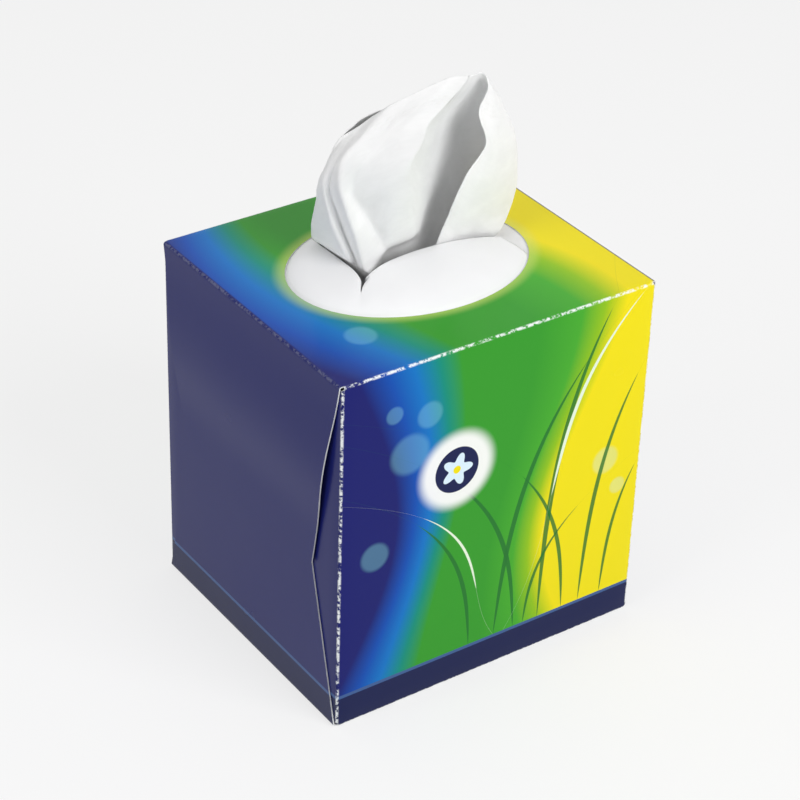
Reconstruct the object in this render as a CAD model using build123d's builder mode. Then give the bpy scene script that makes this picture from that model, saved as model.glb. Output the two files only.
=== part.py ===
from build123d import *
from math import sqrt
import os

# A cube-shaped carton of pop-up facial tissues, in millimetres, +Z up. The origin is the centre of
# the carton's footprint, on the surface it stands on. The front panel faces -Y, the two glued end
# closures face -X and +X, and the oval opening is in the top panel.

# Carton
width = 118.0               # X, between the creases of the two end closures
depth = 104.0               # Y, between the outer faces of the front and back panels
height = 128.0              # Z
board = 0.45                # thickness of the paperboard
crease_radius = 0.9         # outside of a folded crease
ply_gap = 0.15              # glue and air between two plies of an end closure
glue_tab = 14.0             # height of the sleeve's glue tab, inside the back panel
seam_gap = 0.5              # height of the back panel's cut lower edge

# End closures: two dust flaps, then the bottom flap, then the top flap outermost
hinge_inset = 1.0           # from a panel's edge to the end of a major flap's hinge
top_flap_end = 57.0         # height of the top flap's lower edge
top_flap_taper = 13.0       # how far each side edge has come in at that height
flap_bow = 1.7              # how far the top flap bulges beyond its hinge
bow_level = 0.42            # its fullest point, as a share of the way from the lap to the hinge
lap = 12.0                  # overlap of the top flap on the bottom flap
bottom_flap_taper = 17.0    # how far each side edge of the bottom flap has come in at its end
dust_inset = 1.5            # from a panel's end to a dust flap's hinge
dust_flap_length = 42.0
dust_taper = 8.0            # how far a dust flap narrows on each side

# Oval opening in the top panel
oval_half_length = 41.5     # along X
oval_half_width = 32.0      # along Y

# Film under the opening, slit in an H, its front, left and back tongues pushed up by the tissue
film = 0.25                 # thickness
film_margin = 7.0           # glued width around the opening
film_clearance = 0.4        # between the raised film and the cut edge of the board
film_rise = 5.0             # height of the raised tongues above the glued film
slit_right = 32.0           # right leg of the slit, beyond which the film stays flat
mouth_left = 22.0           # from the centre to the left tongue's lip
mouth_front = 4.0           # from the centre to the front tongue's lip
mouth_back = 11.0           # from the centre to the back tongue's lip
mouth_leg = 9.0             # width of the mouth's left leg
mouth_rim = 2.0             # from the end of that leg to the oval
notch_reach = 4.0           # how far the corner of the slit runs out to the left
notch_depth = 8.0           # and to the front

# Pack of interfolded tissues, bent over into an upside-down U
pack_end_gap = 6.5          # between the pack and each end closure
pack_side_gap = 2.5         # between the pack and the front and back panels
pack_headspace = 12.0       # between its crown and the top panel
pack_slot = 3.6             # gap between its two legs

# Tissue standing in the mouth of the slit, folded round its corner like an open book
wing_ply = 4.6              # thickness of the loosely folded paper
wing_seat = 0.3             # between its foot and the crown of the pack
lip_clearance = 2.0         # between the tissue and the lips of the film
neck_rise = 6.0             # height above the carton up to which it stays as narrow as the mouth
shoulder_rise = 30.0        # height where it is widest
shoulder_spread = 7.0       # how far each side has leaned out there
shoulder_draw = 9.0         # how far its left side has come forward there
crest_rise = 52.0           # height where it draws together
crest_left = -17.0          # ends of the crest, along X
crest_right = 31.0
crest_back = 8.0            # left end of the crest, along Y
tip_rise = 60.0             # height of its tip
tip_left = 17.0             # ends of the tip, along X
tip_right = 29.0
tip_back = 4.0              # left end of the tip, along Y

os.makedirs("parts", exist_ok=True)

# Places that several flaps share
panel_end = width / 2 - crease_radius
fold_radius = crease_radius - board / 2
hinge_half = depth / 2 - hinge_inset
flap_line = width / 2 + ply_gap + board / 2
lap_line = flap_line + ply_gap + board
lap_top = top_flap_end + lap

# Top flap, hinged on the right end of the top panel: its bulging section, then its outline
with BuildPart() as top_flap:
    with BuildSketch(Plane.XZ):
        with BuildLine():
            hinge = FilletPolyline(
                (panel_end, height - board / 2),
                (flap_line, height - board / 2),
                (flap_line, height - 2 * crease_radius),
                radius=fold_radius,
            )
            bulge = Spline(
                hinge @ 1,
                (flap_line + flap_bow, lap_top + bow_level * (height - lap_top)),
                (lap_line, lap_top),
                tangents=[(0, -1), (0, -1)],
            )
            Line(bulge @ 1, (lap_line, top_flap_end))
        trace(line_width=board)
    extrude(amount=hinge_half, both=True)
    with BuildSketch(Plane.YZ):
        with BuildLine():
            Polyline(
                (-hinge_half, height),
                (hinge_half, height),
                (hinge_half - top_flap_taper, top_flap_end),
                (top_flap_taper - hinge_half, top_flap_end),
                close=True,
            )
        make_face()
    extrude(amount=width, mode=Mode.INTERSECT)

# Bottom flap, hinged on the right end of the bottom panel
with BuildPart() as bottom_flap:
    with BuildSketch(Plane.XZ):
        with BuildLine():
            FilletPolyline(
                (panel_end, board / 2),
                (flap_line, board / 2),
                (flap_line, lap_top),
                radius=fold_radius,
            )
        trace(line_width=board)
    extrude(amount=hinge_half, both=True)
    with BuildSketch(Plane.YZ):
        with BuildLine():
            Polyline(
                (-hinge_half, 0),
                (hinge_half, 0),
                (hinge_half - bottom_flap_taper, lap_top),
                (bottom_flap_taper - hinge_half, lap_top),
                close=True,
            )
        make_face()
    extrude(amount=width, mode=Mode.INTERSECT)

# Dust flap, hinged on the right end of the front panel
dust_end = dust_flap_length - depth / 2
with BuildPart() as dust_flap:
    with BuildSketch(Plane.XY):
        with BuildLine():
            crease = JernArc((panel_end, board / 2 - depth / 2), (1, 0), fold_radius, 90)
            Line(crease @ 1, (panel_end + fold_radius, dust_end))
        trace(line_width=board)
    extrude(amount=height)
    with BuildSketch(Plane.YZ):
        with BuildLine():
            Polyline(
                (-depth / 2, dust_inset),
                (crease_radius - depth / 2, dust_inset),
                (dust_end, dust_inset + dust_taper),
                (dust_end, height - dust_inset - dust_taper),
                (crease_radius - depth / 2, height - dust_inset),
                (-depth / 2, height - dust_inset),
                close=True,
            )
        make_face()
    extrude(amount=width, mode=Mode.INTERSECT)

# Right end: two dust flaps, and the two flaps that close over them
with BuildPart() as end_closure:
    add(dust_flap.part)
    mirror(dust_flap.part, about=Plane.XZ)
    add(bottom_flap.part)
    add(top_flap.part)

# The carton, one folded blank. Its sleeve runs from the glue tab inside the back panel, round the
# bottom, front and top panels, and down the back panel.
tab_line = depth / 2 - 1.5 * board - ply_gap
with BuildPart() as carton:
    with BuildSketch(Plane.YZ):
        with BuildLine():
            FilletPolyline(
                (tab_line, glue_tab),
                (tab_line, board / 2),
                (board / 2 - depth / 2, board / 2),
                (board / 2 - depth / 2, height - board / 2),
                (depth / 2 - board / 2, height - board / 2),
                (depth / 2 - board / 2, seam_gap),
                radius=fold_radius,
            )
        trace(line_width=board)
    extrude(amount=panel_end, both=True)
    with BuildSketch(Plane.XY.offset(height - 2 * board)):
        Ellipse(oval_half_length, oval_half_width)
    extrude(amount=3 * board, mode=Mode.SUBTRACT)
    add(end_closure.part)
    mirror(end_closure.part, about=Plane.YZ)

carton.part.label = "carton"
export_step(carton.part, "parts/carton.step")

# Film: a border glued under the top panel, a flat tongue on the right of the slit, and a pillow
# raised on the left of it, parted by the mouth of the slit
film_level = height - board - film
film_plane = Plane.XY.offset(film_level)
film_half_length = oval_half_length - film_clearance
film_half_width = oval_half_width - film_clearance
mouth_leg_end = film_half_width * sqrt(1 - (mouth_left / film_half_length) ** 2) - mouth_rim
pillow_inside = scale(
    Sphere(1),
    by=(film_half_length - film, film_half_width - film, film_rise - film),
)

with BuildPart(film_plane) as pillow:
    Sphere(1)
    scale(by=(film_half_length, film_half_width, film_rise), about=(0, 0, film_level))
    add(pillow_inside, mode=Mode.SUBTRACT)
    split(bisect_by=film_plane, keep=Keep.TOP)
    split(bisect_by=Plane.YZ.offset(slit_right), keep=Keep.BOTTOM)

with BuildPart() as slit_film:
    with BuildSketch(film_plane):
        Rectangle(2 * (oval_half_length + film_margin), 2 * (oval_half_width + film_margin))
    extrude(amount=film)
    with BuildSketch(film_plane):
        Ellipse(film_half_length - film, film_half_width - film)
        with Locations((slit_right, 0)):
            Rectangle(width, depth, align=(Align.MAX, Align.CENTER), mode=Mode.INTERSECT)
    extrude(amount=film, mode=Mode.SUBTRACT)
    add(pillow.part)
    with BuildSketch(film_plane):
        with BuildLine():
            Polyline(
                (-mouth_left - notch_reach, -mouth_front - notch_depth),
                (notch_depth - mouth_left, -mouth_front),
                (slit_right, -mouth_front),
                (slit_right, mouth_back),
                (mouth_leg - mouth_left, mouth_back),
                (mouth_leg - mouth_left, mouth_leg_end),
                (-mouth_left, mouth_leg_end),
                (-mouth_left, 0),
                close=True,
            )
        make_face()
    extrude(amount=2 * film_rise, mode=Mode.SUBTRACT)

slit_film.part.label = "slit_film"
export_step(slit_film.part, "parts/slit_film.step")

# Pack of tissues, standing on the bottom panel with its fold under the opening
pack_half = depth / 2 - board - pack_side_gap
pack_top = height - board - pack_headspace
pack_bend = pack_top - pack_half
pack_width = width - 2 * (board + pack_end_gap)
with BuildPart() as tissue_pack:
    with BuildSketch(Plane.YZ):
        with BuildLine():
            ThreePointArc((pack_half, pack_bend), (0, pack_top), (-pack_half, pack_bend))
            Polyline(
                (-pack_half, pack_bend),
                (-pack_half, board),
                (-pack_slot / 2, board),
                (-pack_slot / 2, pack_bend),
            )
            ThreePointArc(
                (-pack_slot / 2, pack_bend),
                (0, pack_bend + pack_slot / 2),
                (pack_slot / 2, pack_bend),
            )
            Polyline(
                (pack_slot / 2, pack_bend),
                (pack_slot / 2, board),
                (pack_half, board),
                (pack_half, pack_bend),
            )
        make_face()
    extrude(amount=pack_width / 2, both=True)

tissue_pack.part.label = "tissue_pack"
export_step(tissue_pack.part, "parts/tissue_pack.step")

# Standing tissue: each level is the two sides of the wing, meeting at an elbow
wing_left = lip_clearance - mouth_left
wing_right = slit_right - lip_clearance
wing_front = lip_clearance - mouth_front
wing_back = mouth_leg_end - lip_clearance
neck = [(wing_left, wing_back), (wing_left, wing_front), (wing_right, wing_front)]
shoulder = [
    (wing_left - shoulder_spread, wing_back - shoulder_draw),
    (wing_left + shoulder_spread, wing_front),
    (wing_right + shoulder_spread, wing_front),
]
crest_elbow = (crest_left + crest_right) / 2
tip_elbow = (tip_left + tip_right) / 2
wing_levels = [
    (pack_top + wing_seat, neck),
    (height + neck_rise, neck),
    (height + shoulder_rise, shoulder),
    (
        height + crest_rise,
        [(crest_left, crest_back), (crest_elbow, wing_front), (crest_right, wing_front)],
    ),
    (
        height + tip_rise,
        [(tip_left, tip_back), (tip_elbow, wing_front), (tip_right, wing_front)],
    ),
]

with BuildPart() as popup_tissue:
    for level, (left, elbow, right) in wing_levels:
        with BuildSketch(Plane.XY.offset(level)):
            with BuildLine():
                Polyline(
                    left,
                    elbow,
                    right,
                    (right[0], right[1] + wing_ply),
                    (elbow[0] + wing_ply, elbow[1] + wing_ply),
                    (left[0] + wing_ply, left[1]),
                    close=True,
                )
            make_face()
    loft(ruled=True)

popup_tissue.part.label = "popup_tissue"
export_step(popup_tissue.part, "parts/popup_tissue.step")
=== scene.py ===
import math
import bpy
import bmesh
import numpy as np
from mathutils import Matrix, Vector, noise


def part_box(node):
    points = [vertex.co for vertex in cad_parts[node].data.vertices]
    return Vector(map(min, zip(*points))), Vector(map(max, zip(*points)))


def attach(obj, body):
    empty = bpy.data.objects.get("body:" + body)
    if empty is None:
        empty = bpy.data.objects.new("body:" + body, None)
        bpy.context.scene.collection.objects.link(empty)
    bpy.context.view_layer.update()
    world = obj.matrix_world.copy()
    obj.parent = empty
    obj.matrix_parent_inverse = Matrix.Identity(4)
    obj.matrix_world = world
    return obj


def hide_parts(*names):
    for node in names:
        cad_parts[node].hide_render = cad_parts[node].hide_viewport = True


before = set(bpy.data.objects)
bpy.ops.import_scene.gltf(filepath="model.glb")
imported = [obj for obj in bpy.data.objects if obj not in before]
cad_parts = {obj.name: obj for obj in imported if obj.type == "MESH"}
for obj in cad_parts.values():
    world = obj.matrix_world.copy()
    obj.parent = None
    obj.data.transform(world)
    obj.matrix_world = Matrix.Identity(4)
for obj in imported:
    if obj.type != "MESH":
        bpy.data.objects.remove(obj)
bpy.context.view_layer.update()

mm = 0.001  # the pieces are drawn in millimetres and scaled once, in makeObject

camera = {
    "lens": 114.4,
    "azimuth": -35.46,      # degrees round the carton, 0 looks straight at the front panel
    "elevation": 32.7,
    "roll": 1.91,
    "distance": 855.1,
    "target": (9.6, 15.3, 64.0),
}


def placeCamera():
    azimuth, elevation, roll = (math.radians(camera[k]) for k in ("azimuth", "elevation", "roll"))
    back = Vector((
        math.sin(azimuth) * math.cos(elevation),
        -math.cos(azimuth) * math.cos(elevation),
        math.sin(elevation),
    ))
    right = Vector((math.cos(azimuth), math.sin(azimuth), 0))
    up = back.cross(right)
    rolledRight = right * math.cos(roll) + up * math.sin(roll)
    rolledUp = up * math.cos(roll) - right * math.sin(roll)
    data = bpy.data.cameras.new("camera")
    data.lens = camera["lens"]
    data.clip_start, data.clip_end = 0.05, 20
    made = bpy.data.objects.new("camera", data)
    bpy.context.scene.collection.objects.link(made)
    made.matrix_world = Matrix((
        (rolledRight.x, rolledUp.x, back.x, 0),
        (rolledRight.y, rolledUp.y, back.y, 0),
        (rolledRight.z, rolledUp.z, back.z, 0),
        (0, 0, 0, 1),
    ))
    made.location = (Vector(camera["target"]) + back * camera["distance"]) * mm
    bpy.context.scene.camera = made


placeCamera()
print("camera placed")


def ink(red, green, blue):
    # a colour as it is mixed on paper, 0 to 255, for a shader socket
    def linear(share):
        return share / 12.92 if share <= 0.04045 else ((share + 0.055) / 1.055) ** 2.4
    return tuple(linear(c / 255) for c in (red, green, blue)) + (1.0,)


def addNode(tree, kind, inputs=None, **settings):
    made = tree.nodes.new(kind)
    for key, value in settings.items():
        setattr(made, key, value)
    for key, value in (inputs or {}).items():
        if isinstance(value, bpy.types.NodeSocket):
            tree.links.new(value, made.inputs[key])
        else:
            made.inputs[key].default_value = value
    return made


def sums(tree, operation, *values):
    made = addNode(tree, "ShaderNodeMath", dict(enumerate(values)), operation=operation)
    return made.outputs[0]


def fade(tree, value, start, end):
    # 0 before start, 1 after end, smooth between; start may be the larger one
    made = addNode(tree, "ShaderNodeMapRange", {0: value, 1: start, 2: end}, interpolation_type="SMOOTHSTEP")
    return made.outputs[0]


def blend(tree, share, first, second):
    made = addNode(tree, "ShaderNodeMix", {0: share, 6: first, 7: second}, data_type="RGBA")
    return made.outputs[2]


def ramp(tree, value, stops):
    made = addNode(tree, "ShaderNodeValToRGB", {0: value})
    elements = made.color_ramp.elements
    while len(elements) < len(stops):
        elements.new(0.5)
    for element, (share, colour) in zip(elements, stops):
        element.position, element.color = share, colour
    return made.outputs[0]


def noiseAt(tree, where, scale, detail=3.0, rough=0.5):
    made = addNode(
        tree, "ShaderNodeTexNoise",
        {"Vector": where, "Scale": scale, "Detail": detail, "Roughness": rough},
    )
    return made.outputs["Fac"]


def newGroup(name, inputs, outputs):
    tree = bpy.data.node_groups.new(name, "ShaderNodeTree")
    for label, kind, value in inputs:
        socket = tree.interface.new_socket(label, in_out="INPUT", socket_type="NodeSocket" + kind)
        if value is not None:
            socket.default_value = value
    for label, kind in outputs:
        tree.interface.new_socket(label, in_out="OUTPUT", socket_type="NodeSocket" + kind)
    given = tree.nodes.new("NodeGroupInput")
    result = tree.nodes.new("NodeGroupOutput")
    return tree, given.outputs, result.inputs


def place(tree, group, **inputs):
    made = tree.nodes.new("ShaderNodeGroup")
    made.node_tree = group
    for key, value in inputs.items():
        if isinstance(value, bpy.types.NodeSocket):
            tree.links.new(value, made.inputs[key])
        else:
            made.inputs[key].default_value = value
    return made.outputs


def newMaterial(name):
    made = bpy.data.materials.new(name)
    made.use_nodes = True
    tree = made.node_tree
    shader = tree.nodes["Principled BSDF"]
    return made, tree, shader


def makeFibreGroup():
    # paper fibre: a fine height and a slight change of tone
    tree, given, result = newGroup(
        "paperFibre",
        [("Vector", "Vector", None), ("Scale", "Float", 1500.0), ("Stretch", "Float", 3.0)],
        [("Height", "Float"), ("Tone", "Float")],
    )
    stretch = addNode(tree, "ShaderNodeCombineXYZ", {0: given["Stretch"], 1: 1.0, 2: 1.0})
    stretched = addNode(
        tree, "ShaderNodeVectorMath", {0: given["Vector"], 1: stretch.outputs[0]}, operation="MULTIPLY"
    )
    fine = noiseAt(tree, stretched.outputs[0], given["Scale"], 4.0, 0.6)
    broad = noiseAt(tree, given["Vector"], sums(tree, "MULTIPLY", given["Scale"], 0.12), 2.0)
    height = sums(tree, "ADD", fine, sums(tree, "MULTIPLY", broad, 0.6))
    tree.links.new(height, result["Height"])
    tree.links.new(sums(tree, "MULTIPLY_ADD", broad, 0.7, sums(tree, "MULTIPLY", fine, 0.3)), result["Tone"])
    return tree


def makeWearAndHighlightGroup():
    # ragged mask where the crease value of the mesh is high, partly real scuffing and partly a painted
    # highlight where the creases catch the light
    tree, given, result = newGroup(
        "creaseWearAndHighlight",
        [("Crease", "Float", 0.0), ("Vector", "Vector", None), ("Scale", "Float", 700.0),
         ("Amount", "Float", 0.5)],
        [("Mask", "Float")],
    )
    ragged = noiseAt(tree, given["Vector"], given["Scale"], 5.0, 0.65)
    patchy = noiseAt(tree, given["Vector"], sums(tree, "MULTIPLY", given["Scale"], 0.15), 2.0)
    level = sums(tree, "MULTIPLY", ragged, sums(tree, "MULTIPLY_ADD", patchy, 0.9, 0.55))
    level = sums(tree, "ADD", level, sums(tree, "MULTIPLY_ADD", given["Amount"], 0.5, -0.25))
    wornAndLit = sums(tree, "MULTIPLY", fade(tree, level, 0.42, 0.56), given["Crease"])
    tree.links.new(wornAndLit, result["Mask"])
    return tree


def makeWaveGroup():
    # how far a point lies to the right of a wavy line that runs up the blank
    tree, given, result = newGroup(
        "waveLine",
        [("Across", "Float", 0.0), ("Along", "Float", 0.0), ("Middle", "Float", 0.0),
         ("Swing", "Float", 0.01), ("Length", "Float", 0.2), ("Start", "Float", 0.0)],
        [("Distance", "Float")],
    )
    turn = sums(tree, "DIVIDE", sums(tree, "SUBTRACT", given["Along"], given["Start"]), given["Length"])
    wave = sums(tree, "SINE", sums(tree, "MULTIPLY", turn, 2 * math.pi))
    swing = sums(tree, "MULTIPLY", wave, given["Swing"])
    line = sums(tree, "ADD", given["Middle"], swing)
    tree.links.new(sums(tree, "SUBTRACT", given["Across"], line), result["Distance"])
    return tree


def makeBladeGroup():
    # one brush stroke like a blade of grass: it leaves its foot upwards, bends over and tapers
    tree, given, result = newGroup(
        "bladeStroke",
        [("Across", "Float", 0.0), ("Along", "Float", 0.0), ("Foot", "Float", 0.0),
         ("Base", "Float", 0.0), ("Height", "Float", 0.05), ("Lean", "Float", 0.0),
         ("Curl", "Float", 0.0), ("Width", "Float", 0.001)],
        [("Mask", "Float")],
    )
    share = sums(tree, "DIVIDE", sums(tree, "SUBTRACT", given["Along"], given["Base"]), given["Height"])
    squared = sums(tree, "MULTIPLY", share, share)
    cubed = sums(tree, "MULTIPLY", squared, share)
    line = sums(tree, "MULTIPLY_ADD", given["Lean"], share, given["Foot"])
    line = sums(tree, "MULTIPLY_ADD", given["Curl"], cubed, line)
    off = sums(tree, "ABSOLUTE", sums(tree, "SUBTRACT", given["Across"], line))
    # widest half way up, pointed at both ends
    inside = sums(tree, "MULTIPLY", share, sums(tree, "SUBTRACT", 1.0, share))
    taper = sums(tree, "POWER", sums(tree, "MAXIMUM", sums(tree, "MULTIPLY", inside, 4.0), 0.0), 0.7)
    half = sums(tree, "MULTIPLY", taper, sums(tree, "MULTIPLY", given["Width"], 0.5))
    edge = sums(tree, "SUBTRACT", half, off)
    tree.links.new(fade(tree, edge, -0.0001, 0.00012), result["Mask"])
    return tree


def makeSpotGroup():
    # a round spot with a soft rim
    tree, given, result = newGroup(
        "softSpot",
        [("Across", "Float", 0.0), ("Along", "Float", 0.0), ("X", "Float", 0.0), ("Y", "Float", 0.0),
         ("Radius", "Float", 0.01), ("Soft", "Float", 0.001)],
        [("Mask", "Float"), ("Distance", "Float"), ("Angle", "Float")],
    )
    dx = sums(tree, "SUBTRACT", given["Across"], given["X"])
    dy = sums(tree, "SUBTRACT", given["Along"], given["Y"])
    far = sums(tree, "SQRT", sums(tree, "MULTIPLY_ADD", dx, dx, sums(tree, "MULTIPLY", dy, dy)))
    edge = sums(tree, "SUBTRACT", given["Radius"], far)
    soft = sums(tree, "DIVIDE", edge, given["Soft"])
    tree.links.new(fade(tree, soft, -0.5, 0.5), result["Mask"])
    tree.links.new(far, result["Distance"])
    tree.links.new(sums(tree, "ARCTAN2", dy, dx), result["Angle"])
    return tree


fibreGroup = makeFibreGroup()
wearAndHighlightGroup = makeWearAndHighlightGroup()
waveGroup = makeWaveGroup()
bladeGroup = makeBladeGroup()
spotGroup = makeSpotGroup()
print("shared effects made")


# the carton's sizes stand before its print, which follows them
boxLow, boxHigh = (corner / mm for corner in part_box("carton"))
carton = {
    "width": 118.0,
    "depth": boxHigh.y - boxLow.y,
    "height": boxHigh.z,
    "board": 0.45,
    "radius": 0.9,          # outside of a crease
    "plyGap": 0.15,
    "seamGap": 0.5,
    "glueTab": 14.0,
    "ovalLength": 41.5,
    "ovalWidth": 32.0,
    "flapEnd": 57.0,
    "flapTaper": 13.0,
    "lap": 12.0,
    "bow": boxHigh.x - 59.6,
    "bowLevel": 0.42,
    "bottomTaper": 17.0,
    "dustLength": 42.0,
    "dustTaper": 8.0,
    "dustInset": 1.5,
    "swell": 0.35,          # how far a panel stands out at its middle
    "arcSteps": 6,
    "ringSteps": 9,         # rings of faces between the oval and the edge of the top
    "ringCrowding": 0.85,
    "panelStep": 5.0,
    "flapStep": 4.0,
    "endWearAndHighlight": 0.12,        # how scuffed the folds at the ends are and how strong their painted highlight is, beside 1 on the long creases
}

panelEnd = carton["width"] / 2 - carton["radius"]     # where the long creases end

printing = {
    "navy": ink(16, 22, 104),
    "blue": ink(0, 74, 170),
    "azure": ink(0, 112, 190),
    "teal": ink(0, 138, 118),
    "green": ink(50, 150, 38),
    "freshGreen": ink(66, 165, 40),
    "lime": ink(140, 188, 16),
    "yellow": ink(236, 219, 0),
    "endNavy": ink(24, 30, 98),
    "bandNavy": ink(17, 26, 74),
    "bandLine": ink(62, 92, 144),
    "bandTop": 11.0,
    "lineTop": 12.2,
    "strokeGreen": ink(28, 112, 40),
    "strokeWhite": ink(226, 240, 216),
    "bubble": ink(150, 226, 236),
    "bubbleShare": 0.2,
    "bubbleRim": 0.35,      # width of the soft rim, as a share of the radius
    "glow": ink(246, 246, 244),
    "petal": ink(214, 234, 246),
    "halo": ink(214, 226, 120),
    "haloShare": 0.42,
    "haloReach": 1.13,      # the glow round the oval ends at this share of its size
    # near white for the creases: partly board showing through the scuffing, partly a painted highlight where
    # the creases catch the light
    "scuffAndHighlight": ink(236, 240, 240),
    "roughness": 0.2,
    "ior": 1.25,
}

# blades of grass on the front panel: foot, base, height, lean, curl, width, all in millimetres
blades = [
    (2, 12, 96, 8, 24, 2.0),
    (10, 12, 72, -6, -26, 1.8),
    (20, 12, 112, 2, 20, 2.2),
    (30, 12, 60, -4, -16, 1.6),
    (37, 12, 84, 4, 14, 1.8),
    (-8, 12, 56, -4, -18, 1.6),
    (46, 12, 48, 3, 8, 1.4),
    (14, 12, 40, 4, 16, 1.4),
]
whiteBlades = [
    (22.4, 60, 66, 12, 20, 1.5),
    (-6, 34, 36, -8, -14, 1.0),
]
# pale bubbles: across, along, radius
bubbles = [
    (-34, 96, 7), (-27, 108, 4.5), (-40, 112, 3), (-38, 150, 5), (-46, 62, 5), (44, 66, 5), (50, 54, 3),
]
flower = {
    "x": -16, "y": 84, "glow": 13.5, "glowRim": 5,
    "disc": 8.2, "discRim": 0.25, "petal": 4.6, "ripple": 0.3, "heart": 1.4,
}
# the two wavy lines that part the fields of colour
waves = {
    "left": {"Middle": -0.031, "Swing": 0.011, "Length": 0.23, "Start": 0.03},
    "right": {"Middle": 0.027, "Swing": 0.013, "Length": 0.19, "Start": 0.09},
}
# the inks from left to right: 0 is on the left line and 1 on the right one
fieldStops = [
    (-0.8, "navy"), (-0.42, "navy"), (-0.26, "blue"), (-0.12, "azure"), (0.02, "teal"),
    (0.14, "green"), (0.6, "green"), (0.86, "freshGreen"), (1.0, "lime"), (1.14, "yellow"),
]
fieldRange = 2.4            # from the first stop to beyond the last


def makePrintedBoard():
    made, tree, shader = newMaterial("printedBoard")
    blank = addNode(tree, "ShaderNodeUVMap", uv_map="blank").outputs[0]
    where = addNode(tree, "ShaderNodeSeparateXYZ", {0: blank}).outputs
    across, along = where[0], where[1]
    solid = addNode(tree, "ShaderNodeTexCoord").outputs["Object"]
    level = addNode(tree, "ShaderNodeSeparateXYZ", {0: solid}).outputs[2]

    # two wavy lines part the fields of colour
    left, right = (
        place(tree, waveGroup, Across=across, Along=along, **waves[side])["Distance"]
        for side in ("left", "right")
    )
    share = sums(tree, "DIVIDE", left, sums(tree, "SUBTRACT", left, right))
    first = fieldStops[0][0]
    share = sums(tree, "MULTIPLY_ADD", share, 1 / fieldRange, -first / fieldRange)
    field = ramp(tree, share, [((t - first) / fieldRange, printing[name]) for t, name in fieldStops])

    def spotAt(x, y, radius, rim):
        return place(tree, spotGroup, Across=across, Along=along, X=x * mm, Y=y * mm,
                     Radius=radius * mm, Soft=rim * mm)

    for x, y, radius in bubbles:
        spot = spotAt(x, y, radius, radius * printing["bubbleRim"])["Mask"]
        field = blend(tree, sums(tree, "MULTIPLY", spot, printing["bubbleShare"]), field, printing["bubble"])

    for strokes, colour, strength in (
        (blades, printing["strokeGreen"], 0.9),
        (whiteBlades, printing["strokeWhite"], 1.0),
    ):
        for foot, base, height, lean, curl, width in strokes:
            stroke = place(tree, bladeGroup, Across=across, Along=along, Foot=foot * mm, Base=base * mm,
                           Height=height * mm, Lean=lean * mm, Curl=curl * mm, Width=width * mm)["Mask"]
            field = blend(tree, sums(tree, "MULTIPLY", stroke, strength), field, colour)

    # a soft white disc with a five-petalled flower
    glow = spotAt(flower["x"], flower["y"], flower["glow"], flower["glowRim"])
    field = blend(tree, sums(tree, "MULTIPLY", glow["Mask"], 0.93), field, printing["glow"])
    disc = spotAt(flower["x"], flower["y"], flower["disc"], flower["discRim"])
    field = blend(tree, disc["Mask"], field, printing["bandNavy"])
    petals = sums(tree, "COSINE", sums(tree, "MULTIPLY", disc["Angle"], 5.0))
    petals = sums(tree, "MULTIPLY_ADD", petals, flower["petal"] * flower["ripple"] * mm, flower["petal"] * mm)
    petals = fade(tree, sums(tree, "SUBTRACT", petals, disc["Distance"]), -0.0001, 0.0001)
    field = blend(tree, petals, field, printing["petal"])
    heart = fade(tree, disc["Distance"], (flower["heart"] + 0.1) * mm, (flower["heart"] - 0.1) * mm)
    field = blend(tree, heart, field, printing["yellow"])

    # a soft glow round the opening
    solidWhere = addNode(tree, "ShaderNodeSeparateXYZ", {0: solid}).outputs
    ringX = sums(tree, "DIVIDE", solidWhere[0], carton["ovalLength"] * mm)
    ringY = sums(tree, "DIVIDE", solidWhere[1], carton["ovalWidth"] * mm)
    ring = sums(tree, "SQRT", sums(tree, "MULTIPLY_ADD", ringX, ringX, sums(tree, "MULTIPLY", ringY, ringY)))
    onTop = fade(tree, level, (carton["height"] - 1.1) * mm, (carton["height"] - 0.4) * mm)
    halo = sums(tree, "MULTIPLY", fade(tree, ring, printing["haloReach"], 1.0), onTop)
    field = blend(tree, sums(tree, "MULTIPLY", halo, printing["haloShare"]), field, printing["halo"])

    # plain navy ends
    endStart, endFull = (panelEnd + 0.1) * mm, (panelEnd + carton["radius"]) * mm
    endMask = fade(tree, sums(tree, "ABSOLUTE", across), endStart, endFull)
    field = blend(tree, endMask, field, printing["endNavy"])

    # the band round the foot, with its line
    band = fade(tree, level, (printing["lineTop"] + 0.08) * mm, (printing["lineTop"] - 0.08) * mm)
    field = blend(tree, band, field, printing["bandLine"])
    band = fade(tree, level, (printing["bandTop"] + 0.08) * mm, (printing["bandTop"] - 0.08) * mm)
    field = blend(tree, band, field, printing["bandNavy"])

    # scuffed creases, partly the white of the board showing through and partly a painted highlight where the
    # creases catch the light
    crease = addNode(tree, "ShaderNodeAttribute", attribute_name="crease").outputs["Fac"]
    wornAndLit = place(tree, wearAndHighlightGroup, Crease=crease, Vector=solid, Scale=900.0, Amount=0.5)["Mask"]
    field = blend(tree, wornAndLit, field, printing["scuffAndHighlight"])
    tree.links.new(field, shader.inputs["Base Color"])

    # varnish: nearly smooth, with a faint ripple from the board
    ripple = noiseAt(tree, solid, 420.0, 3.0, 0.55)
    broad = noiseAt(tree, solid, 45.0, 2.0)
    rough = sums(tree, "MULTIPLY_ADD", broad, 0.1, printing["roughness"])
    rough = sums(tree, "ADD", rough, sums(tree, "MULTIPLY", wornAndLit, 0.4))
    tree.links.new(rough, shader.inputs["Roughness"])
    height = sums(tree, "MULTIPLY_ADD", broad, 1.5, sums(tree, "MULTIPLY", ripple, 0.25))
    bump = addNode(tree, "ShaderNodeBump", {"Strength": 0.25, "Distance": 0.0002, "Height": height})
    tree.links.new(bump.outputs[0], shader.inputs["Normal"])
    shader.inputs["IOR"].default_value = printing["ior"]
    return made


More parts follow.
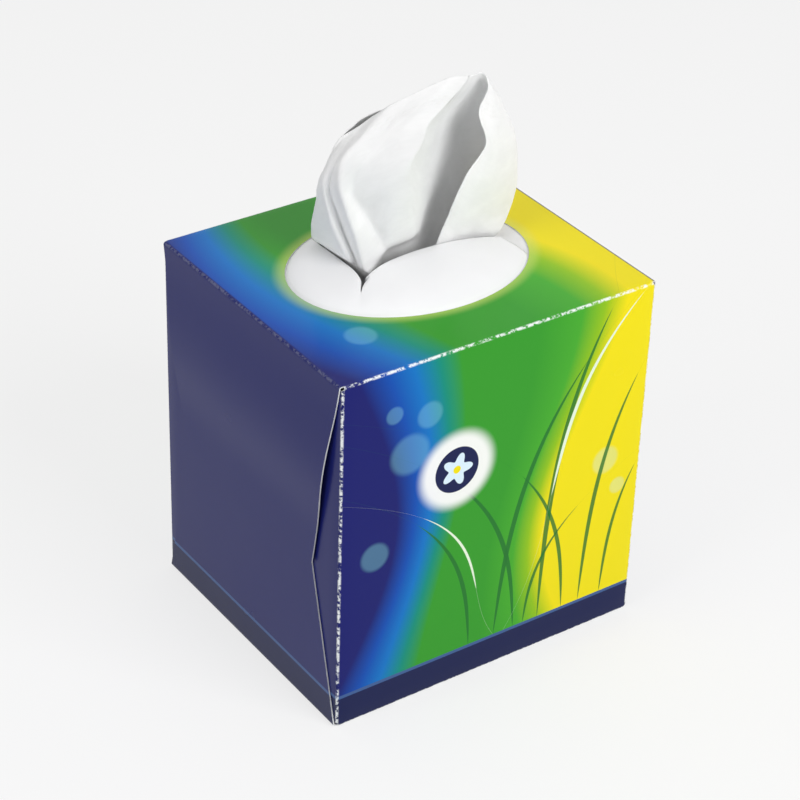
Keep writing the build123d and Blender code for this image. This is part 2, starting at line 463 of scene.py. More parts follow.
def makeRawBoard(name, colour, scale, rough):
    made, tree, shader = newMaterial(name)
    solid = addNode(tree, "ShaderNodeTexCoord").outputs["Object"]
    fibre = place(tree, fibreGroup, Vector=solid, Scale=scale, Stretch=2.5)
    dark = tuple(c * 0.82 for c in colour[:3]) + (1.0,)
    tone = fade(tree, fibre["Tone"], 0.35, 0.75)
    tree.links.new(blend(tree, tone, dark, colour), shader.inputs["Base Color"])
    bump = addNode(tree, "ShaderNodeBump", {"Strength": 0.5, "Distance": 0.0001, "Height": fibre["Height"]})
    tree.links.new(bump.outputs[0], shader.inputs["Normal"])
    shader.inputs["Roughness"].default_value = rough
    shader.inputs["IOR"].default_value = 1.35
    return made


def makeFilmMaterial():
    made, tree, shader = newMaterial("whiteFilm")
    solid = addNode(tree, "ShaderNodeTexCoord").outputs["Object"]
    cloud = noiseAt(tree, solid, 60.0, 2.0)
    tree.links.new(blend(tree, cloud, ink(236, 236, 238), ink(243, 243, 244)), shader.inputs["Base Color"])
    streak = noiseAt(tree, solid, 260.0, 3.0)
    tree.links.new(sums(tree, "MULTIPLY_ADD", streak, 0.12, 0.3), shader.inputs["Roughness"])
    height = sums(tree, "MULTIPLY_ADD", cloud, 2.0, sums(tree, "MULTIPLY", streak, 0.2))
    bump = addNode(tree, "ShaderNodeBump", {"Strength": 0.2, "Distance": 0.0003, "Height": height})
    tree.links.new(bump.outputs[0], shader.inputs["Normal"])
    shader.inputs["IOR"].default_value = 1.4
    shader.inputs["Subsurface Weight"].default_value = 0.1
    shader.inputs["Subsurface Radius"].default_value = (1, 1, 1)
    shader.inputs["Subsurface Scale"].default_value = 0.001
    return made


# rows of pressed dots along the sheet's free edge, in millimetres
emboss = {"pitch": 1.8, "rim": 0.6, "core": 0.2, "middle": 189.0, "half": 3.4, "full": 2.8, "depth": 1.2}


def makeTissueMaterial(name, embossed):
    made, tree, shader = newMaterial(name)
    sheet = addNode(tree, "ShaderNodeUVMap", uv_map="sheet").outputs[0]
    solid = addNode(tree, "ShaderNodeTexCoord").outputs["Object"]
    fibre = place(tree, fibreGroup, Vector=sheet, Scale=900.0, Stretch=0.35)
    tone = fade(tree, fibre["Tone"], 0.3, 0.75)
    tree.links.new(blend(tree, tone, ink(240, 240, 240), ink(248, 248, 248)), shader.inputs["Base Color"])
    height = sums(tree, "MULTIPLY", fibre["Height"], 0.35)
    if embossed:
        # the pressed dots, weaker in patches
        where = addNode(tree, "ShaderNodeSeparateXYZ", {0: sheet}).outputs
        column, row = (sums(tree, "PINGPONG", where[k], emboss["pitch"] / 2 * mm) for k in (0, 1))
        dot = sums(tree, "SQRT", sums(tree, "MULTIPLY_ADD", column, column, sums(tree, "MULTIPLY", row, row)))
        dot = fade(tree, dot, emboss["rim"] * mm, emboss["core"] * mm)
        inBand = sums(tree, "ABSOLUTE", sums(tree, "SUBTRACT", where[1], emboss["middle"] * mm))
        inBand = fade(tree, inBand, emboss["half"] * mm, emboss["full"] * mm)
        pressed = sums(tree, "MULTIPLY", dot, inBand)
        patch = fade(tree, noiseAt(tree, sheet, 40.0, 1.0), 0.4, 0.6)
        pressed = sums(tree, "MULTIPLY", pressed, patch)
        height = sums(tree, "SUBTRACT", height, sums(tree, "MULTIPLY", pressed, emboss["depth"]))
    soft = noiseAt(tree, solid, 120.0, 3.0, 0.6)
    height = sums(tree, "ADD", height, sums(tree, "MULTIPLY", soft, 1.6))
    bump = addNode(tree, "ShaderNodeBump", {"Strength": 0.35, "Distance": 0.0003, "Height": height})
    tree.links.new(bump.outputs[0], shader.inputs["Normal"])
    shader.inputs["Roughness"].default_value = 0.9
    shader.inputs["IOR"].default_value = 1.3
    shader.inputs["Sheen Weight"].default_value = 0.1
    shader.inputs["Subsurface Weight"].default_value = 0.25
    shader.inputs["Subsurface Radius"].default_value = (1, 1, 1)
    shader.inputs["Subsurface Scale"].default_value = 0.0015
    return made


printedBoard = makePrintedBoard()
innerBoard = makeRawBoard("innerBoard", ink(206, 203, 196), 1200.0, 0.85)
cutBoard = makeRawBoard("cutBoard", ink(228, 230, 232), 2500.0, 0.8)
filmMaterial = makeFilmMaterial()
tissueMaterial = makeTissueMaterial("tissuePaper", True)
packMaterial = makeTissueMaterial("packPaper", False)
print("materials made")


def slopesAt(points):
    # the direction of a smooth line at each of its points
    slopes = np.empty_like(points)
    slopes[1:-1] = (points[2:] - points[:-2]) / 2
    slopes[0], slopes[-1] = points[1] - points[0], points[-1] - points[-2]
    return slopes


def between(share, start, startSlope, end, endSlope):
    # a point that share of the way along a cubic from start to end
    square, cube = share**2, share**3
    return (
        (2 * cube - 3 * square + 1) * start
        + (cube - 2 * square + share) * startSlope
        + (3 * square - 2 * cube) * end
        + (cube - square) * endSlope
    )


def curveThrough(points, count):
    # a smooth line through points, evenly spaced
    points = np.array(points, float)
    slopes = slopesAt(points)
    shares = np.linspace(0, 1, 25)[:-1, None]
    runs = [
        between(shares, points[i], slopes[i], points[i + 1], slopes[i + 1])
        for i in range(len(points) - 1)
    ]
    line = np.vstack(runs + [points[-1:]])
    lengths = np.concatenate([[0], np.cumsum(np.linalg.norm(np.diff(line, axis=0), axis=1))])
    wanted = np.linspace(0, lengths[-1], count)
    return np.column_stack([np.interp(wanted, lengths, line[:, k]) for k in range(line.shape[1])])


class Patchwork:
    # collects grids of points with their print coordinates and crease values

    def __init__(self):
        self.points, self.faces, self.uvs, self.crease = [], [], [], []

    def addGrid(self, points, uvs, crease=None, flip=False):
        rows, columns = len(points), len(points[0])
        first = len(self.points)
        for i in range(rows):
            for j in range(columns):
                self.points.append(tuple(points[i][j]))
                self.uvs.append(tuple(uvs[i][j]))
                self.crease.append(0.0 if crease is None else float(crease[i][j]))
        for i in range(rows - 1):
            for j in range(columns - 1):
                a = first + i * columns + j
                face = (a, a + 1, a + columns + 1, a + columns)
                self.faces.append(face[::-1] if flip else face)


def makeObject(name, patches, uvName, materials, weld=0.01):
    mesh = bpy.data.meshes.new(name)
    made = bpy.data.objects.new(name, mesh)
    bpy.context.scene.collection.objects.link(made)
    build = bmesh.new()
    creaseLayer = build.verts.layers.float.new("crease")
    uvLayer = build.loops.layers.uv.new(uvName)
    verts = []
    for point, crease in zip(patches.points, patches.crease):
        vert = build.verts.new(Vector(point) * mm)
        vert[creaseLayer] = crease
        verts.append(vert)
    for face in patches.faces:
        corners = [verts[k] for k in face]
        newFace = build.faces.new(corners)
        newFace.smooth = True
        for loop, k in zip(newFace.loops, face):
            loop[uvLayer].uv = (patches.uvs[k][0] * mm, patches.uvs[k][1] * mm)
    bmesh.ops.remove_doubles(build, verts=build.verts, dist=weld * mm)
    build.to_mesh(mesh)
    build.free()
    for material in materials:
        mesh.materials.append(material)
    return made


def thicken(made, thickness, inner=0, rim=0, sharp=None):
    # gives the sheet its thickness, away from its outer face, and keeps the result as the mesh
    solid = made.modifiers.new("thickness", "SOLIDIFY")
    solid.thickness = thickness * mm
    solid.offset = -1
    solid.use_even_offset = False
    solid.use_rim = True
    solid.material_offset = inner
    solid.material_offset_rim = rim
    graph = bpy.context.evaluated_depsgraph_get()
    mesh = bpy.data.meshes.new_from_object(made.evaluated_get(graph))
    made.modifiers.clear()
    made.data = mesh
    if sharp:
        mesh.set_sharp_from_angle(angle=math.radians(sharp))
    return made


def crossRun(start, end, step):
    count = max(2, int(round(abs(end - start) / step)) + 1)
    return list(np.linspace(start, end, count))


def makeCarton():
    c = carton
    r, steps = c["radius"], c["arcSteps"]
    flatY = c["depth"] / 2 - r
    flatZ = c["height"] - r
    patches = Patchwork()
    xs = crossRun(-panelEnd, panelEnd, c["panelStep"])
    zs = crossRun(r, flatZ, c["panelStep"])
    ys = crossRun(-flatY, flatY, c["panelStep"])
    halfArc = r * math.pi / 2
    # where each panel starts along the blank: the front's foot is 0
    topStart = c["height"]
    backStart = c["height"] + c["depth"]
    bottomStart = -c["depth"]

    def outward(x, y, z, face):
        # how far the panel at that face stands out there; the creases and other panels don't
        if abs(y - face) > 1e-6:
            return 0.0
        middle = c["height"] / 2
        share = max(0, 1 - (x / panelEnd) ** 2) * max(0, 1 - ((z - middle) / (middle - r)) ** 2)
        return math.copysign(c["swell"] * share, face)

    def addStrip(rows, face):
        # a strip of the sleeve, from rows of y, z, place along the blank and crease
        points = [[(x, y + outward(x, y, z, face), z) for x in xs] for y, z, v, mark in rows]
        uvs = [[(x, v) for x in xs] for y, z, v, mark in rows]
        marks = [[mark] * len(xs) for y, z, v, mark in rows]
        patches.addGrid(points, uvs, marks)

    def arc(centreY, centreZ, start, end, v0, v1):
        rows = []
        for k in range(steps + 1):
            share = k / steps
            a = math.radians(start + (end - start) * share)
            rows.append((centreY + r * math.cos(a), centreZ + r * math.sin(a), v0 + (v1 - v0) * share,
                         math.sin(math.pi * share)))
        return rows

    # glue tab, bottom panel and front panel, up to the top crease
    rows = []
    tabY = c["depth"] / 2 - c["board"] - c["plyGap"]
    for z in crossRun(c["glueTab"], r, c["panelStep"]):
        rows.append((tabY, z, bottomStart - z, 0))
    rows += arc(tabY - r, r, 0, -90, bottomStart, bottomStart + r)[1:]
    for y in crossRun(tabY - r, -flatY, c["panelStep"])[1:-1]:
        rows.append((y, 0.0, -(y + c["depth"] / 2), 0))
    rows += arc(-flatY, r, -90, -180, -r, r)
    for z in zs[1:-1]:
        rows.append((-c["depth"] / 2, z, z, 0))
    rows += arc(-flatY, flatZ, 180, 90, flatZ, topStart + r)
    addStrip(rows, -c["depth"] / 2)

    # back panel, from the top crease down to its cut edge
    rows = arc(flatY, flatZ, 90, 0, backStart - r, backStart + r)
    for z in crossRun(flatZ, c["seamGap"], c["panelStep"])[1:]:
        rows.append((c["depth"] / 2, z, backStart + (c["height"] - z), 0))
    addStrip(rows, c["depth"] / 2)

    # top panel: rings of points from the oval out to the rectangle
    border = [(x, -flatY) for x in xs[:-1]] + [(panelEnd, y) for y in ys[:-1]]
    border += [(x, flatY) for x in xs[:0:-1]] + [(-panelEnd, y) for y in ys[:0:-1]]
    border.append(border[0])
    points, uvs = [], []
    for k in range(c["ringSteps"] + 1):
        share = (k / c["ringSteps"]) ** c["ringCrowding"]
        ring = []
        for x, y in border:
            # the point of the oval at the same angle, on a circle stretched to its shape
            angle = math.atan2(y / c["ovalWidth"], x / c["ovalLength"])
            inner = (c["ovalLength"] * math.cos(angle), c["ovalWidth"] * math.sin(angle))
            ring.append((inner[0] + (x - inner[0]) * share, inner[1] + (y - inner[1]) * share, c["height"]))
        points.append(ring)
        uvs.append([(x, topStart + c["depth"] / 2 + y) for x, y, z in ring])
    patches.addGrid(points, uvs, flip=True)

    # flaps at both ends; a flap's section is a list of how far out, how far down, run and crease
    majorOuter = c["width"] / 2 + c["plyGap"] + c["board"]
    lapOuter = majorOuter + c["plyGap"] + c["board"]
    lapTop = c["flapEnd"] + c["lap"]

    def foldSection(outer):
        rows = [(panelEnd, 0.0, 0.0, 0.0)]
        for k in range(steps + 1):
            a = math.pi / 2 * k / steps
            rows.append((outer - r + r * math.sin(a), r - r * math.cos(a), outer - r - panelEnd + r * a,
                         c["endWearAndHighlight"] * math.sin(math.pi * k / steps)))
        return rows

    def topSection():
        rows = foldSection(majorOuter)
        hinge = c["height"] - 2 * r
        fullest = lapTop + c["bowLevel"] * (c["height"] - lapTop)
        v = rows[-1][2]
        for z in crossRun(hinge, c["flapEnd"], c["flapStep"]):
            if z > fullest:
                share = (hinge - z) / (hinge - fullest)
                out = majorOuter + c["bow"] * (0.5 - 0.5 * math.cos(math.pi * share))
            elif z > lapTop:
                share = (z - lapTop) / (fullest - lapTop)
                top = majorOuter + c["bow"]
                out = lapOuter + (top - lapOuter) * (0.5 - 0.5 * math.cos(math.pi * share))
            else:
                out = lapOuter
            rows.append((out, c["height"] - z, v + hinge - z, 0))
        return rows

    def bottomSection():
        rows = foldSection(majorOuter)
        v = rows[-1][2]
        for z in crossRun(2 * r, lapTop, c["flapStep"]):
            rows.append((majorOuter, z, v + z - 2 * r, 0))
        return rows

    for side in (-1, 1):
        for atTop, section, taper, length in (
            (True, topSection(), c["flapTaper"], c["height"] - c["flapEnd"]),
            (False, bottomSection(), c["bottomTaper"], lapTop),
        ):
            points, uvs, marks = [], [], []
            for out, down, run, mark in section:
                narrow = 1 - taper / flatY * max(0, (down - r)) / length
                z = c["height"] - down if atTop else down
                points.append([(side * out, y * narrow, z) for y in ys])
                middle, turn = (topStart + c["depth"] / 2, 1) if atTop else (-c["depth"] / 2, -1)
                uvs.append([(side * (panelEnd + run), middle + turn * y * narrow) for y in ys])
                marks.append([mark] * len(ys))
            patches.addGrid(points, uvs, marks, flip=(side == 1) == atTop)
        for face in (-1, 1):
            # dust flaps, hinged on the front and back panels
            points, uvs, marks = [], [], []
            dustEnd = c["dustLength"] - c["depth"] / 2
            section = []
            for k in range(steps + 1):
                a = math.pi / 2 * k / steps
                section.append((panelEnd + r * math.sin(a), -flatY - r * math.cos(a), r * a,
                                math.sin(math.pi * k / steps)))
            for y in crossRun(-flatY, dustEnd, c["panelStep"])[1:]:
                section.append((panelEnd + r, y, halfArc + y + flatY, 0))
            for out, y, run, mark in section:
                fold = min(1.0, max(0.0, (y + c["depth"] / 2) / r))
                taper = c["dustTaper"] * max(0, y + flatY) / (dustEnd + flatY)
                inset = (c["dustInset"] - r) * fold + taper
                middle = c["height"] / 2
                narrow = 1 - inset / (middle - r)
                points.append([(side * out, face * -y, middle + (z - middle) * narrow) for z in zs])
                levels = zs if face < 0 else [backStart + c["height"] - z for z in zs]
                uvs.append([(side * (panelEnd + run), level) for level in levels])
                marks.append([mark] * len(zs))
            patches.addGrid(points, uvs, marks, flip=(side == 1) == (face == -1))

    made = makeObject("foldedCarton", patches, "blank", [printedBoard, innerBoard, cutBoard])
    return thicken(made, c["board"], inner=1, rim=2, sharp=50)


foldedCarton = makeCarton()
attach(foldedCarton, "root")
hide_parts("carton")
print("carton folded")


film = {
    "length": 41.1,         # half axes of the rim, a little inside the cut edge of the board
    "width": 31.6,
    "level": carton["height"] - carton["board"],
    "rise": 5.4,
    "margin": 6.4,
    "thickness": 0.12,
    "rollRadius": 1.3,
    "tail": 5.0,
    "seamDepth": 0.5,       # the gather that runs from the corner of the slit to the rim
    "seamWidth": 1.6,
    "backLift": 0.55,       # height of the back tongue, as a share of the others
    "rows": 15,
    "crowding": 1.5,        # rows are closer at the rim, where the film rises steeply
    "lipTurns": (18, 36, 54, 72, 90, 105),
    "underStep": 0.25,      # how far each row under the lip runs back
    "mouthCentre": (0.0, 4.0),
}
# where the slits meet the rim, in degrees round the stretched circle
slitCorner, slitFront, slitBack, slitLeft = 218.4, 328.0, 37.0, 117.0
vTip = (-26.5, -12.8)
frontLip = [vTip, (-24, -10.3), (-20.6, -8), (-16, -5.8), (-10, -4.2), (0, -3.4), (12, -3.6), (22, -4.8),
            (31.6, -7.0)]
leftLip = [vTip, (-25.2, -10), (-23.4, -6), (-22.4, -1), (-22.2, 6), (-21.8, 14), (-21.2, 20), (-19.6, 26.4)]
flatLip = [(33.4, -9), (33.0, 0), (32.8, 11)]
backLip = [(-13.2, 25.5), (-12.6, 19), (-11, 13), (-5, 11), (8, 10.8), (22, 10.6), (31.6, 11)]


def rimPoint(degrees, grow=0.0):
    a = math.radians(degrees)
    return ((film["length"] + grow) * math.cos(a), (film["width"] + grow) * math.sin(a))


def domeHeight(x, y, lift):
    inside = 1 - (x / film["length"]) ** 2 - (y / film["width"]) ** 2
    dome = film["rise"] * lift * math.sqrt(max(0.0, inside))
    foot = rimPoint(slitCorner)
    along = Vector((foot[0] - vTip[0], foot[1] - vTip[1]))
    off = Vector((x - vTip[0], y - vTip[1]))
    share = max(0.0, min(1.0, off.dot(along) / along.length_squared))
    gap = (off - along * share).length
    dome -= film["seamDepth"] * math.exp(-((gap / film["seamWidth"]) ** 2)) * math.sqrt(max(0.0, inside))
    return film["level"] + dome


def rollOver(points, lipLine):
    # the lip's roll into the mouth, tight in the corner of the slit, where two lips meet
    lipLine = np.array(lipLine)
    count = len(lipLine)
    reach = np.linalg.norm(lipLine - np.array(vTip), axis=1)
    heads = []
    for j in range(count):
        run = lipLine[min(count - 1, j + 1)] - lipLine[max(0, j - 1)]
        head = np.array([-run[1], run[0]]) / np.linalg.norm(run)
        inward = np.array(film["mouthCentre"]) - lipLine[j]
        heads.append(-head if np.dot(head, inward) < 0 else head)
    edge = points[-1]
    for turn in np.radians(film["lipTurns"]):
        row = []
        for (x, y, z), head, far in zip(edge, heads, reach):
            radius = film["rollRadius"] * min(1.0, 0.12 + far / 9)
            corner = max(0.0, 1 - far / 4)
            head = head * (1 - corner) + np.array([0.7, 0.7]) * corner
            out = radius * math.sin(turn)
            row.append((x + head[0] * out, y + head[1] * out, z - radius * (1 - math.cos(turn))))
        points.append(row)
    under = points[-1]
    for k in range(1, 4):
        back = film["underStep"] * k
        points.append([
            (x - head[0] * back, y - head[1] * back, z - film["tail"] * k / 3)
            for (x, y, z), head in zip(under, heads)
        ])


def tongue(patches, start, end, lip, lift, columns):
    # one tongue of the slit film, from the rim in to its lip and over it; without lift it stays flat
    angles = np.linspace(start, end, columns)
    lipLine = curveThrough([(x, y, 0) for x, y in lip], columns)[:, :2]
    points = []
    for share in np.linspace(0, 1, film["rows"]) ** film["crowding"]:
        row = []
        for angle, inner in zip(angles, lipLine):
            outer = rimPoint(angle)
            x, y = (a + (b - a) * share for a, b in zip(outer, inner))
            row.append((x, y, domeHeight(x, y, lift) if lift else film["level"]))
        points.append(row)
    if lift:
        rollOver(points, lipLine)
    patches.addGrid(points, [[(x, y) for x, y, z in row] for row in points])


def makeFilm():
    patches = Patchwork()
    # each tongue: where it starts on the rim, its lip, its lift and its columns
    tongues = [
        (slitBack, backLip[::-1], film["backLift"], 40),
        (slitLeft, leftLip[::-1], 1.0, 44),
        (slitCorner, frontLip, 1.0, 60),
        (slitFront, flatLip, 0, 36),
    ]
    stops = [start for start, lip, lift, columns in tongues] + [slitBack + 360]
    angles = []
    for (start, lip, lift, columns), end in zip(tongues, stops[1:]):
        angles += list(np.linspace(start, end, columns)[:-1])
    angles.append(stops[-1])
    # the border glued under the board
    points = [
        [(*rimPoint(a, grow), film["level"] - (0.02 if grow else 0)) for a in angles]
        for grow in (film["margin"], film["margin"] / 2, 0.0)
    ]
    patches.addGrid(points, [[(x, y) for x, y, z in row] for row in points])
    for (start, lip, lift, columns), end in zip(tongues, stops[1:]):
        tongue(patches, start, end, lip, lift, columns)
    made = makeObject("slitFilm", patches, "sheet", [filmMaterial], weld=0.004)
    return thicken(made, film["thickness"])


slitFilm = makeFilm()
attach(slitFilm, "root")
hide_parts("slit_film")
print("film slit")


tissue = {
    "side": 200.0,
    "thickness": 0.16,
    "rows": 74,
    "gap": 1.05,            # about how far apart its columns are
    "crumple": 0.35,        # depth of the dents
    "softScale": 0.11,
    "dentScale": 0.23,
    "dentShare": 0.45,
    "settleRows": 8,        # rows above the mouth over which the dents fade in
    "seed": 7,
    "laidFrom": 116,        # the hidden part's end and start, along the pack from its crown
    "laidTo": 8,
    "laidRows": 20,
    "laidHalf": 50,         # half its width there
    "laidLifts": (0.5, 1.1),
}
# The folds of the standing part, each from the mouth of the slit up to the sheet's free edge. The number
# before each fold is how softly the sheet turns there: 0 is a sharp crease.
folds = [
    (1.0, [(8, 0, 126), (9.5, -1.5, 132), (11, -5, 143.5), (13, -7, 152), (16, -8, 159),
           (23.5, -6.5, 166), (22, -4, 176), (29, 1, 180.5), (29.6, 3, 184)]),
    (1.0, [(19, 0, 126), (21.5, -2, 132), (22.5, -6, 143), (25.5, -7.5, 153), (28, -6, 162.5),
           (30, -3, 171), (31.5, 0.5, 177), (31, 4, 182.8)]),
    (0.3, [(30, 1, 125), (33, -3.2, 130.5), (38.2, -1, 135), (41.5, 0, 143.7), (42, 1, 153),
           (41, 2, 162), (37, 3, 171.3), (34, 4, 177.6), (31.9, 5, 182)]),
    (1.0, [(27, 5, 124), (32, 7.5, 132), (36, 10, 140.4), (37.2, 11, 152.6), (34, 9, 166.7),
           (30.2, 6, 184)]),
    (0.5, [(18, 6, 124), (21.5, 8, 136), (23, 10, 146), (23.6, 11, 152.6), (24.8, 9, 166.3),
           (26.7, 7, 177), (29, 5, 184.6)]),
    (1.0, [(9, 6, 124), (13, 7.5, 133), (16.7, 9, 139), (15.7, 7, 147), (12.5, 5, 158.5),
           (14, 5, 168.5), (18.5, 4, 176.5), (25.5, 4, 184.8)]),
    (0.25, [(1, 7, 125), (0.5, 5, 131), (1.3, -0.5, 136.7), (-1.9, -4, 151.5), (-3.4, -5, 164.5),
           (1.3, -4, 171), (5.1, -2, 176.4), (15.8, 1, 180.4), (23, 2.6, 185.6)]),
    (1.0, [(-5, 7, 125), (-6, 4, 131), (-7.6, -2, 138), (-8.9, -3.5, 152), (-8.2, -3.5, 164),
           (-5.2, -1, 171), (0.4, 1, 177), (9.9, 2, 182.4), (17, 4, 186.5)]),
    (0.6, [(-8, 5, 125), (-9, 2, 131), (-10.4, -1, 135.5), (-13.1, 1.5, 143.5), (-15.6, 3.5, 149.3),
           (-18.5, 4, 156), (-17.1, 3, 165.4), (-7.5, 4, 174.4), (4, 6, 183)]),
    (0.8, [(-15, 0, 125), (-17, -3.4, 130), (-19, -3.2, 133), (-21, -2, 142.7), (-23.2, 0, 151),
           (-24.5, 3, 160.7), (-22.1, 5, 167.6), (-15, 6, 173), (-3.4, 8, 180.2)]),
    (0.5, [(-16, 3, 125), (-18.6, 1, 131), (-19.7, 2, 135.4), (-21.5, 4.5, 141.7),
           (-23.4, 6.5, 150.2), (-25, 8, 157), (-23, 8, 165), (-18, 9, 170.5), (-8.3, 10, 176.8)]),
    (0.7, [(-17, 7, 125), (-19.5, 3, 131), (-22, 1.5, 134), (-24.8, 3.5, 141.4), (-26.6, 6, 149.3),
           (-27, 9, 157.8), (-24.3, 10, 164.2), (-20, 11, 169), (-13.5, 11, 173.8)]),
    (0.4, [(-17, 15, 125), (-20.3, 20, 131), (-23.4, 20, 134), (-24.6, 18, 141), (-25.2, 15, 152.4),
           (-25.3, 13, 158.6), (-22.9, 12.5, 164), (-20.4, 12.5, 168.5), (-18, 12.5, 171.3)]),
    (1.0, [(-13, 19, 125), (-15, 20, 131), (-16, 22, 145), (-15, 20, 158), (-12, 16.5, 168),
           (-9, 13.5, 175)]),
    (1.0, [(-2, 10, 125), (0, 10, 131), (1, 17, 145), (0, 19, 158), (3, 14, 170), (6, 10, 179.5)]),
    (1.0, [(12, 10, 125), (14, 9.5, 131), (16, 18, 145), (15, 18, 158), (16, 12, 172), (17, 8.5, 183)]),
    (1.0, [(24, 10, 125), (27, 9, 131), (31, 15, 143), (32, 16, 155), (29, 12.5, 168), (24, 8, 182)]),
]
packBox = [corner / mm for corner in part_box("tissue_pack")]


def onPack(distance, lift):
    # a point that far back along the pack from its crown, lift above its surface
    radius = packBox[1].y
    centre = packBox[1].z - radius
    quarter = radius * math.pi / 2
    if distance < quarter:
        a = distance / radius
        return (radius + lift) * math.sin(a), centre + (radius + lift) * math.cos(a)
    return radius + lift, centre - (distance - quarter)


def makeStandingTissue():
    t = tissue
    pulls = [pull for pull, line in folds]
    rows = t["rows"]
    lines = np.array([curveThrough(line, rows) for pull, line in folds])
    # columns between the folds, about evenly spaced
    middle = lines[:, rows // 2]
    counts = [max(4, int(np.linalg.norm(b - a) / t["gap"])) for a, b in zip(middle, middle[1:])]
    slopes = slopesAt(lines) * np.array(pulls)[:, None, None]
    columns = [
        between(share, lines[k], slopes[k], lines[k + 1], slopes[k + 1])
        for k, count in enumerate(counts)
        for share in np.linspace(0, 1, count + 1)[:-1]
    ]
    columns.append(lines[-1])
    grid = np.array(columns).transpose(1, 0, 2)      # rows from the mouth up, columns along the sheet

    # crumple: soft dents, which fade out towards the mouth
    noise.seed_set(t["seed"])
    normals = np.cross(np.gradient(grid, axis=1), np.gradient(grid, axis=0))
    normals /= np.maximum(np.linalg.norm(normals, axis=2), 1e-6)[:, :, None]
    for i in range(grid.shape[0]):
        for j in range(grid.shape[1]):
            p = Vector(grid[i, j])
            soft = noise.noise(p * t["softScale"] + Vector((3, 7, 1)))
            dent = 1 - 2 * abs(noise.noise(p * t["dentScale"] + Vector((11, 2, 5))))
            amount = t["crumple"] * (soft + dent * t["dentShare"])
            grid[i, j] += normals[i, j] * amount * min(1.0, i / t["settleRows"])

    # the hidden part: down from the mouth and along the pack in two layers
    count = grid.shape[1]
    shares = np.linspace(0, 1, count)
    half = t["laidHalf"]
    spread = np.where(shares < 0.5, half * (1 - 4 * shares), half * (4 * shares - 3))
    layer = np.where(shares < 0.5, *t["laidLifts"])
    hidden = []
    for distance in np.linspace(t["laidFrom"], t["laidTo"], t["laidRows"]):
        y, z = zip(*(onPack(distance, lift) for lift in layer))
        hidden.append(np.column_stack([spread, y, z]))
    neck = grid[0]
    last = hidden[-1]
    for share in (0.25, 0.5, 0.75):
        sink = share * share * (3 - 2 * share)
        row = last * (1 - share) + neck * share
        row[:, 2] = last[:, 2] * (1 - sink) + neck[:, 2] * sink
        hidden.append(row)
    grid = np.concatenate([np.array(hidden), grid])

    # sheet coordinates: across from 0 to 200, up to the free edge at 200
    down = np.linalg.norm(np.diff(grid, axis=0), axis=2)
    below = np.concatenate([np.cumsum(down[::-1], axis=0)[::-1], np.zeros((1, count))])
    patches = Patchwork()
    uvs = [[(share * t["side"], t["side"] - drop) for share, drop in zip(shares, row)] for row in below]
    patches.addGrid(grid, uvs, flip=True)
    made = makeObject("standingTissue", patches, "sheet", [tissueMaterial], weld=0.0005)
    return thicken(made, t["thickness"])


standingTissue = makeStandingTissue()
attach(standingTissue, "root")
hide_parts("popup_tissue")
print("tissue stands")


# each layer of the stack stands for two tissues; fill is how much of its room the paper takes
pack = {"sheets": 28, "slot": 1.8, "wander": 0.35, "fill": 0.92, "seed": 3}


def makePack():
    low, high = packBox
    outer, centre = high.y, high.z - high.y
    patches = Patchwork()
    step = (outer - pack["slot"]) / pack["sheets"]
    noise.seed_set(pack["seed"])

    def wander(k, across, pace):
        return pack["wander"] * (1 + noise.noise(Vector((k * pace, across, 0))))

    def bentSection(radius, foot):
        # up one leg, over the crown and down the other leg
        leg = list(np.linspace(foot, centre, 6)[:-1])
        arch = [(radius * math.cos(a), centre + radius * math.sin(a)) for a in np.linspace(0, math.pi, 25)]
        return [(radius, z) for z in leg] + arch + [(-radius, z) for z in np.linspace(centre, foot, 6)[1:]]

    for k in range(pack["sheets"]):
        radius = outer - k * step
        ends = [low.x + wander(k, 0, 1.7), high.x - wander(k, 5, 1.7)]
        foot = low.z + wander(k, 9, 1.3)
        section = bentSection(radius, foot)
        inner = bentSection(radius - step * pack["fill"], foot)
        loop = section + inner[::-1] + section[:1]
        xs = np.linspace(ends[0], ends[1], 9)
        points = [[(x, y, z) for y, z in loop] for x in xs]
        patches.addGrid(points, [[(x, n * 4.0) for n in range(len(loop))] for x in xs])
        for x, turned in ((ends[0], True), (ends[1], False)):
            points = [[(x, y, z) for y, z in line] for line in (section, inner)]
            uvs = [[(n * 4.0, edge) for n in range(len(section))] for edge in (0, 1)]
            patches.addGrid(points, uvs, flip=turned)
    made = makeObject("tissueStack", patches, "sheet", [packMaterial])
    made.data.set_sharp_from_angle(angle=math.radians(50))
    return made


tissueStack = makePack()
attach(tissueStack, "root")
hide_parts("tissue_pack")
print("pack filled")


studio = {
    "floorSize": 6.0,
    "floorShare": 0.72,      # how much of the floor's look is plain white, the rest takes shadow
    "ambient": 0.3,
    "lamps": [
        # name, place, width, depth, power, aimed at
        ("keyLamp", (0.35, -1.25, 0.95), 0.9, 0.9, 16.4, (0, 0, 0.08)),
        ("sideLamp", (-1.35, -0.1, 0.75), 0.8, 0.8, 6.9, (0, 0, 0.08)),
        ("topLamp", (0.1, 0.25, 1.5), 1.0, 1.0, 4.3, (0, 0, 0.1)),
    ],
}


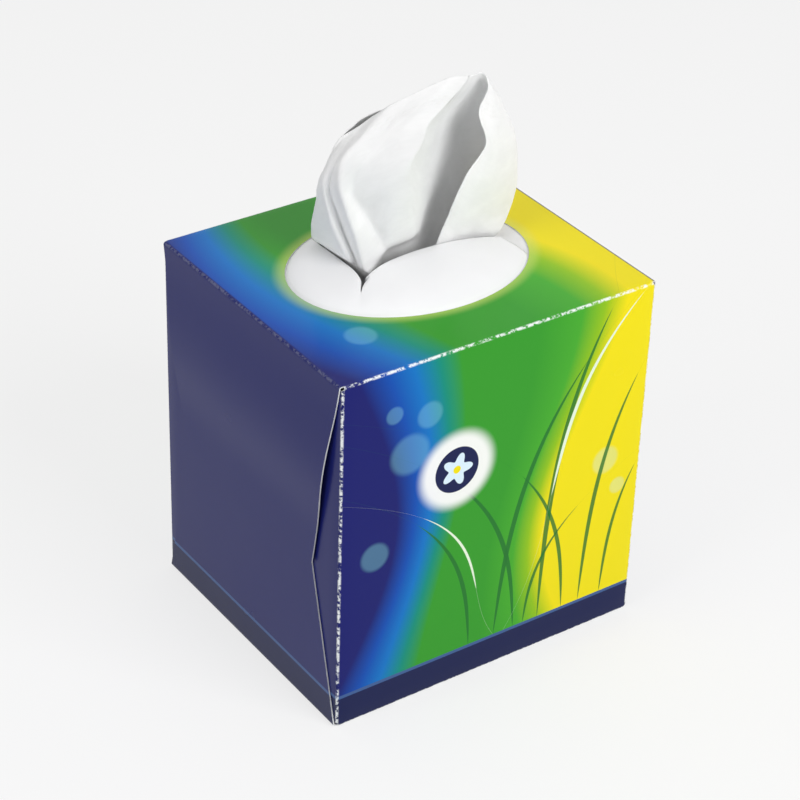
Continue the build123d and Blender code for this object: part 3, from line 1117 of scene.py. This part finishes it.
def seenOrMirrored(tree):
    rays = addNode(tree, "ShaderNodeLightPath").outputs
    seen = sums(tree, "MAXIMUM", rays["Is Camera Ray"], rays["Is Glossy Ray"])
    return sums(tree, "MAXIMUM", seen, rays["Is Transmission Ray"])


def makeFloor():
    half = studio["floorSize"] / 2
    mesh = bpy.data.meshes.new("floor")
    corners = [(-half, -half, 0), (half, -half, 0), (half, half, 0), (-half, half, 0)]
    mesh.from_pydata(corners, [], [(0, 1, 2, 3)])
    made = bpy.data.objects.new("floor", mesh)
    made.location.z = -0.0002
    bpy.context.scene.collection.objects.link(made)
    material = bpy.data.materials.new("paleFloor")
    material.use_nodes = True
    tree = material.node_tree
    tree.nodes.clear()
    matt = addNode(tree, "ShaderNodeBsdfDiffuse", {"Color": (0.82, 0.82, 0.82, 1)})
    glow = addNode(tree, "ShaderNodeEmission", {"Color": (1, 1, 1, 1), "Strength": 1.0})
    share = sums(tree, "MULTIPLY", seenOrMirrored(tree), studio["floorShare"])
    mixed = addNode(tree, "ShaderNodeMixShader", {0: share, 1: matt.outputs[0], 2: glow.outputs[0]})
    output = tree.nodes.new("ShaderNodeOutputMaterial")
    tree.links.new(mixed.outputs[0], output.inputs[0])
    mesh.materials.append(material)


def makeLamps():
    for name, spot, width, depth, power, aim in studio["lamps"]:
        data = bpy.data.lights.new(name, "AREA")
        data.shape = "RECTANGLE"
        data.size, data.size_y = width, depth
        data.energy = power
        made = bpy.data.objects.new(name, data)
        bpy.context.scene.collection.objects.link(made)
        made.location = spot
        made.rotation_mode = "QUATERNION"
        made.rotation_quaternion = (Vector(aim) - Vector(spot)).to_track_quat("-Z", "Y")


def makeWorld():
    world = bpy.data.worlds.new("studio")
    bpy.context.scene.world = world
    world.use_nodes = True
    tree = world.node_tree
    tree.nodes.clear()
    level = sums(tree, "MULTIPLY_ADD", seenOrMirrored(tree), 1.0 - studio["ambient"], studio["ambient"])
    sky = addNode(tree, "ShaderNodeBackground", {"Color": (1, 1, 1, 1), "Strength": level})
    output = tree.nodes.new("ShaderNodeOutputWorld")
    tree.links.new(sky.outputs[0], output.inputs[0])


makeFloor()
makeLamps()
makeWorld()
bpy.context.scene.view_settings.view_transform = "Standard"
print("studio lit")
